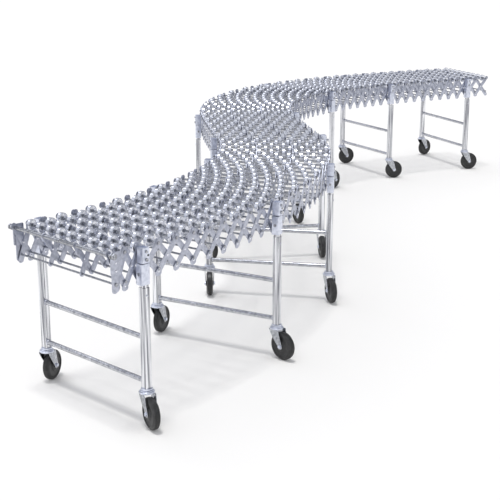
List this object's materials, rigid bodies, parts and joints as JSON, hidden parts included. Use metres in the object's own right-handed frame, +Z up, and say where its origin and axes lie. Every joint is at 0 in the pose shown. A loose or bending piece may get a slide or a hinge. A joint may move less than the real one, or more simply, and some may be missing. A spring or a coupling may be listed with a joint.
{
  "type": "flexible skate-wheel conveyor",
  "caption": "Expandable gravity conveyor: a scissor-link bed of skate wheels on castered telescoping leg sets, drawn out along an S-shaped curve.",
  "frame": {"origin": "on the floor, at the middle of the footprint's bounding box", "axes": "+Z up; +Y along the length of the laid-out bed, from the near end towards the far end; +X to the right of it"},
  "size_m": [2.7846, 5.4784, 0.7206],
  "materials": {
    "zinc_steel": "bright zinc plate",
    "tube_steel": "bright zinc plate",
    "wheel_steel": "bright zinc plate",
    "fork_black": "satin black paint",
    "wheel_rubber": "matt"
  },
  "bodies": {
    "support_1": {"support_1": "tube_steel", "bed_near_end": "zinc_steel", "near_end_axle": "zinc_steel"},
    "stand_1": {"stand_1": "tube_steel"},
    "support_2": {"support_2": "tube_steel"},
    "stand_2": {"stand_2": "tube_steel"},
    "support_3": {"support_3": "tube_steel"},
    "stand_3": {"stand_3": "tube_steel"},
    "support_4": {"support_4": "tube_steel"},
    "stand_4": {"stand_4": "tube_steel"},
    "support_5": {"support_5": "tube_steel"},
    "stand_5": {"stand_5": "tube_steel"},
    "support_6": {"support_6": "tube_steel"},
    "stand_6": {"stand_6": "tube_steel"},
    "support_7": {"support_7": "tube_steel"},
    "stand_7": {"stand_7": "tube_steel"},
    "support_8": {"support_8": "tube_steel", "bed_far_end": "zinc_steel"},
    "stand_8": {"stand_8": "tube_steel"},
    "span_1": {"bed_span_1": "zinc_steel"},
    "span_2": {"bed_span_2": "zinc_steel"},
    "span_3": {"bed_span_3": "zinc_steel"},
    "span_4": {"bed_span_4": "zinc_steel"},
    "span_5": {"bed_span_5": "zinc_steel"},
    "span_6": {"bed_span_6": "zinc_steel"},
    "span_7": {"bed_span_7": "zinc_steel"},
    "near_skate_wheel_left": {"near_skate_wheel_left": "wheel_steel"},
    "near_skate_wheel_right": {"near_skate_wheel_right": "wheel_steel"},
    "fork_1_left": {"fork_1_left": "fork_black"},
    "wheel_1_left": {"wheel_1_left": "wheel_rubber"},
    "fork_1_right": {"fork_1_right": "fork_black"},
    "wheel_1_right": {"wheel_1_right": "wheel_rubber"},
    "fork_2_left": {"fork_2_left": "fork_black"},
    "wheel_2_left": {"wheel_2_left": "wheel_rubber"},
    "fork_2_right": {"fork_2_right": "fork_black"},
    "wheel_2_right": {"wheel_2_right": "wheel_rubber"},
    "fork_3_left": {"fork_3_left": "fork_black"},
    "wheel_3_left": {"wheel_3_left": "wheel_rubber"},
    "fork_3_right": {"fork_3_right": "fork_black"},
    "wheel_3_right": {"wheel_3_right": "wheel_rubber"},
    "fork_4_left": {"fork_4_left": "fork_black"},
    "wheel_4_left": {"wheel_4_left": "wheel_rubber"},
    "fork_4_right": {"fork_4_right": "fork_black"},
    "wheel_4_right": {"wheel_4_right": "wheel_rubber"},
    "fork_5_left": {"fork_5_left": "fork_black"},
    "wheel_5_left": {"wheel_5_left": "wheel_rubber"},
    "fork_5_right": {"fork_5_right": "fork_black"},
    "wheel_5_right": {"wheel_5_right": "wheel_rubber"},
    "fork_6_left": {"fork_6_left": "fork_black"},
    "wheel_6_left": {"wheel_6_left": "wheel_rubber"},
    "fork_6_right": {"fork_6_right": "fork_black"},
    "wheel_6_right": {"wheel_6_right": "wheel_rubber"},
    "fork_7_left": {"fork_7_left": "fork_black"},
    "wheel_7_left": {"wheel_7_left": "wheel_rubber"},
    "fork_7_right": {"fork_7_right": "fork_black"},
    "wheel_7_right": {"wheel_7_right": "wheel_rubber"},
    "fork_8_left": {"fork_8_left": "fork_black"},
    "wheel_8_left": {"wheel_8_left": "wheel_rubber"},
    "fork_8_right": {"fork_8_right": "fork_black"},
    "wheel_8_right": {"wheel_8_right": "wheel_rubber"}
  },
  "joints": [
    {"name": "expand_1", "type": "slide", "parent": "support_1", "child": "span_1", "axis": [0.5835, 0.8121, 0], "range_m": [-0.1417, 0.1687], "deforming": ["bed_span_1"]},
    {"name": "expand_2", "type": "slide", "parent": "support_2", "child": "span_2", "axis": [0.3363, 0.9418, 0], "range_m": [-0.1417, 0.1687], "deforming": ["bed_span_2"]},
    {"name": "expand_3", "type": "slide", "parent": "support_3", "child": "span_3", "axis": [0.0131, 0.9999, 0], "range_m": [-0.126, 0.15], "deforming": ["bed_span_3"]},
    {"name": "expand_4", "type": "slide", "parent": "support_4", "child": "span_4", "axis": [-0.1495, 0.9888, 0], "range_m": [-0.1417, 0.1687], "deforming": ["bed_span_4"]},
    {"name": "expand_5", "type": "slide", "parent": "support_5", "child": "span_5", "axis": [0.2965, 0.955, 0], "range_m": [-0.2363, 0.2813], "deforming": ["bed_span_5"]},
    {"name": "expand_6", "type": "slide", "parent": "support_6", "child": "span_6", "axis": [0.776, 0.6307, 0], "range_m": [-0.126, 0.15], "deforming": ["bed_span_6"]},
    {"name": "expand_7", "type": "slide", "parent": "support_7", "child": "span_7", "axis": [0.8902, 0.4555, 0], "range_m": [-0.1417, 0.1687], "deforming": ["bed_span_7"]},
    {"name": "flex_1", "type": "hinge", "parent": "span_1", "child": "support_2", "pos_m": [-0.80708, -2.10817, 0.6966], "axis": [0, 0, 1], "range_deg": [-41, 21], "deforming": ["bed_span_1"]},
    {"name": "flex_2", "type": "hinge", "parent": "span_2", "child": "support_3", "pos_m": [-0.44701, -1.43222, 0.6966], "axis": [0, 0, 1], "range_deg": [-40, 17], "deforming": ["bed_span_2"]},
    {"name": "flex_3", "type": "hinge", "parent": "span_3", "child": "support_4", "pos_m": [-0.31193, -0.7251, 0.6966], "axis": [0, 0, 1], "range_deg": [-40, 11], "deforming": ["bed_span_3"]},
    {"name": "flex_4", "type": "hinge", "parent": "span_4", "child": "support_5", "pos_m": [-0.40193, 0.01646, 0.6966], "axis": [0, 0, 1], "range_deg": [-33, 35], "deforming": ["bed_span_4"]},
    {"name": "flex_5", "type": "hinge", "parent": "span_5", "child": "support_6", "pos_m": [-0.40422, 1.05028, 0.6966], "axis": [0, 0, 1], "range_deg": [-9, 80], "deforming": ["bed_span_5"]},
    {"name": "flex_6", "type": "hinge", "parent": "span_6", "child": "support_7", "pos_m": [0.16616, 1.84738, 0.6966], "axis": [0, 0, 1], "range_deg": [-14, 38], "deforming": ["bed_span_6"]},
    {"name": "flex_7", "type": "hinge", "parent": "span_7", "child": "support_8", "pos_m": [0.77824, 2.22405, 0.6966], "axis": [0, 0, 1], "range_deg": [-27, 35], "deforming": ["bed_span_7"]},
    {"name": "height_1", "type": "slide", "parent": "support_1", "child": "stand_1", "axis": [0, 0, -1], "range_m": [0, 0.3]},
    {"name": "height_2", "type": "slide", "parent": "support_2", "child": "stand_2", "axis": [0, 0, -1], "range_m": [0, 0.3]},
    {"name": "height_3", "type": "slide", "parent": "support_3", "child": "stand_3", "axis": [0, 0, -1], "range_m": [0, 0.3]},
    {"name": "height_4", "type": "slide", "parent": "support_4", "child": "stand_4", "axis": [0, 0, -1], "range_m": [0, 0.3]},
    {"name": "height_5", "type": "slide", "parent": "support_5", "child": "stand_5", "axis": [0, 0, -1], "range_m": [0, 0.3]},
    {"name": "height_6", "type": "slide", "parent": "support_6", "child": "stand_6", "axis": [0, 0, -1], "range_m": [0, 0.3]},
    {"name": "height_7", "type": "slide", "parent": "support_7", "child": "stand_7", "axis": [0, 0, -1], "range_m": [0, 0.3]},
    {"name": "height_8", "type": "slide", "parent": "support_8", "child": "stand_8", "axis": [0, 0, -1], "range_m": [0, 0.3]},
    {"name": "spin_left", "type": "hinge", "parent": "support_1", "child": "near_skate_wheel_left", "pos_m": [-1.25606, -2.41577, 0.6966], "axis": [-0.729, 0.6845, 0], "continuous": true},
    {"name": "spin_right", "type": "hinge", "parent": "support_1", "child": "near_skate_wheel_right", "pos_m": [-1.04831, -2.61087, 0.6966], "axis": [-0.729, 0.6845, 0], "continuous": true},
    {"name": "swivel_1_left", "type": "hinge", "parent": "stand_1", "child": "fork_1_left", "pos_m": [-1.28343, -2.20022, 0.148], "axis": [0, 0, 1], "continuous": true},
    {"name": "swivel_1_right", "type": "hinge", "parent": "stand_1", "child": "fork_1_right", "pos_m": [-0.83147, -2.62464, 0.148], "axis": [0, 0, 1], "continuous": true},
    {"name": "swivel_2_left", "type": "hinge", "parent": "stand_2", "child": "fork_2_left", "pos_m": [-0.87177, -1.62734, 0.148], "axis": [0, 0, 1], "continuous": true},
    {"name": "swivel_2_right", "type": "hinge", "parent": "stand_2", "child": "fork_2_right", "pos_m": [-0.32536, -1.92032, 0.148], "axis": [0, 0, 1], "continuous": true},
    {"name": "swivel_3_left", "type": "hinge", "parent": "stand_3", "child": "fork_3_left", "pos_m": [-0.65212, -1.01219, 0.148], "axis": [0, 0, 1], "continuous": true},
    {"name": "swivel_3_right", "type": "hinge", "parent": "stand_3", "child": "fork_3_right", "pos_m": [-0.04372, -1.13156, 0.148], "axis": [0, 0, 1], "continuous": true},
    {"name": "swivel_4_left", "type": "hinge", "parent": "stand_4", "child": "fork_4_left", "pos_m": [-0.64449, -0.4292, 0.148], "axis": [0, 0, 1], "continuous": true},
    {"name": "swivel_4_right", "type": "hinge", "parent": "stand_4", "child": "fork_4_right", "pos_m": [-0.03317, -0.3258, 0.148], "axis": [0, 0, 1], "continuous": true},
    {"name": "swivel_5_left", "type": "hinge", "parent": "stand_5", "child": "fork_5_left", "pos_m": [-0.76542, 0.37045, 0.148], "axis": [0, 0, 1], "continuous": true},
    {"name": "swivel_5_right", "type": "hinge", "parent": "stand_5", "child": "fork_5_right", "pos_m": [-0.15087, 0.45245, 0.148], "axis": [0, 0, 1], "continuous": true},
    {"name": "swivel_6_left", "type": "hinge", "parent": "stand_6", "child": "fork_6_left", "pos_m": [-0.31684, 1.81514, 0.148], "axis": [0, 0, 1], "continuous": true},
    {"name": "swivel_6_right", "type": "hinge", "parent": "stand_6", "child": "fork_6_right", "pos_m": [0.14319, 1.39947, 0.148], "axis": [0, 0, 1], "continuous": true},
    {"name": "swivel_7_left", "type": "hinge", "parent": "stand_7", "child": "fork_7_left", "pos_m": [0.2965, 2.31358, 0.148], "axis": [0, 0, 1], "continuous": true},
    {"name": "swivel_7_right", "type": "hinge", "parent": "stand_7", "child": "fork_7_right", "pos_m": [0.60931, 1.77828, 0.148], "axis": [0, 0, 1], "continuous": true},
    {"name": "swivel_8_left", "type": "hinge", "parent": "stand_8", "child": "fork_8_left", "pos_m": [0.98743, 2.66715, 0.148], "axis": [0, 0, 1], "continuous": true},
    {"name": "swivel_8_right", "type": "hinge", "parent": "stand_8", "child": "fork_8_right", "pos_m": [1.23861, 2.10031, 0.148], "axis": [0, 0, 1], "continuous": true},
    {"name": "roll_1_left", "type": "hinge", "parent": "fork_1_left", "child": "wheel_1_left", "pos_m": [-1.27105, -2.16429, 0.0635], "axis": [-0.9455, 0.3256, 0], "continuous": true},
    {"name": "roll_1_right", "type": "hinge", "parent": "fork_1_right", "child": "wheel_1_right", "pos_m": [-0.81363, -2.65819, 0.0635], "axis": [0.8829, 0.4695, 0], "continuous": true},
    {"name": "roll_2_left", "type": "hinge", "parent": "fork_2_left", "child": "wheel_2_left", "pos_m": [-0.85631, -1.59263, 0.0635], "axis": [-0.9135, 0.4067, 0], "continuous": true},
    {"name": "roll_2_right", "type": "hinge", "parent": "fork_2_right", "child": "wheel_2_right", "pos_m": [-0.29849, -1.94719, 0.0635], "axis": [0.7071, 0.7071, 0], "continuous": true},
    {"name": "roll_3_left", "type": "hinge", "parent": "fork_3_left", "child": "wheel_3_left", "pos_m": [-0.65013, -1.05014, 0.0635], "axis": [0.9986, 0.0523, 0], "continuous": true},
    {"name": "roll_3_right", "type": "hinge", "parent": "fork_3_right", "child": "wheel_3_right", "pos_m": [-0.03388, -1.16826, 0.0635], "axis": [0.9659, 0.2588, 0], "continuous": true},
    {"name": "roll_4_left", "type": "hinge", "parent": "fork_4_left", "child": "wheel_4_left", "pos_m": [-0.66518, -0.39733, 0.0635], "axis": [-0.8387, -0.5446, 0], "continuous": true},
    {"name": "roll_4_right", "type": "hinge", "parent": "fork_4_right", "child": "wheel_4_right", "pos_m": [-0.02854, -0.36352, 0.0635], "axis": [0.9925, 0.1219, 0], "continuous": true},
    {"name": "roll_5_left", "type": "hinge", "parent": "fork_5_left", "child": "wheel_5_left", "pos_m": [-0.74642, 0.33754, 0.0635], "axis": [0.866, 0.5, 0], "continuous": true},
    {"name": "roll_5_right", "type": "hinge", "parent": "fork_5_right", "child": "wheel_5_right", "pos_m": [-0.13421, 0.4183, 0.0635], "axis": [0.8988, 0.4384, 0], "continuous": true},
    {"name": "roll_6_left", "type": "hinge", "parent": "fork_6_left", "child": "wheel_6_left", "pos_m": [-0.29784, 1.84804, 0.0635], "axis": [-0.866, 0.5, 0], "continuous": true},
    {"name": "roll_6_right", "type": "hinge", "parent": "fork_6_right", "child": "wheel_6_right", "pos_m": [0.16761, 1.42858, 0.0635], "axis": [-0.766, 0.6428, 0], "continuous": true},
    {"name": "roll_7_left", "type": "hinge", "parent": "fork_7_left", "child": "wheel_7_left", "pos_m": [0.33221, 2.32658, 0.0635], "axis": [-0.342, 0.9397, 0], "continuous": true},
    {"name": "roll_7_right", "type": "hinge", "parent": "fork_7_right", "child": "wheel_7_right", "pos_m": [0.64694, 1.78357, 0.0635], "axis": [-0.1392, 0.9903, 0], "continuous": true},
    {"name": "roll_8_left", "type": "hinge", "parent": "fork_8_left", "child": "wheel_8_left", "pos_m": [1.01737, 2.69054, 0.0635], "axis": [-0.6157, 0.788, 0], "continuous": true},
    {"name": "roll_8_right", "type": "hinge", "parent": "fork_8_right", "child": "wheel_8_right", "pos_m": [1.27624, 2.1056, 0.0635], "axis": [-0.1392, 0.9903, 0], "continuous": true}
  ],
  "couplings": [
    {"joint": "expand_2", "follows": "expand_1", "ratio": 1},
    {"joint": "expand_3", "follows": "expand_1", "ratio": 0.88889},
    {"joint": "expand_4", "follows": "expand_1", "ratio": 1},
    {"joint": "expand_5", "follows": "expand_1", "ratio": 1.6667},
    {"joint": "expand_6", "follows": "expand_1", "ratio": 0.88889},
    {"joint": "expand_7", "follows": "expand_1", "ratio": 1}
  ]
}
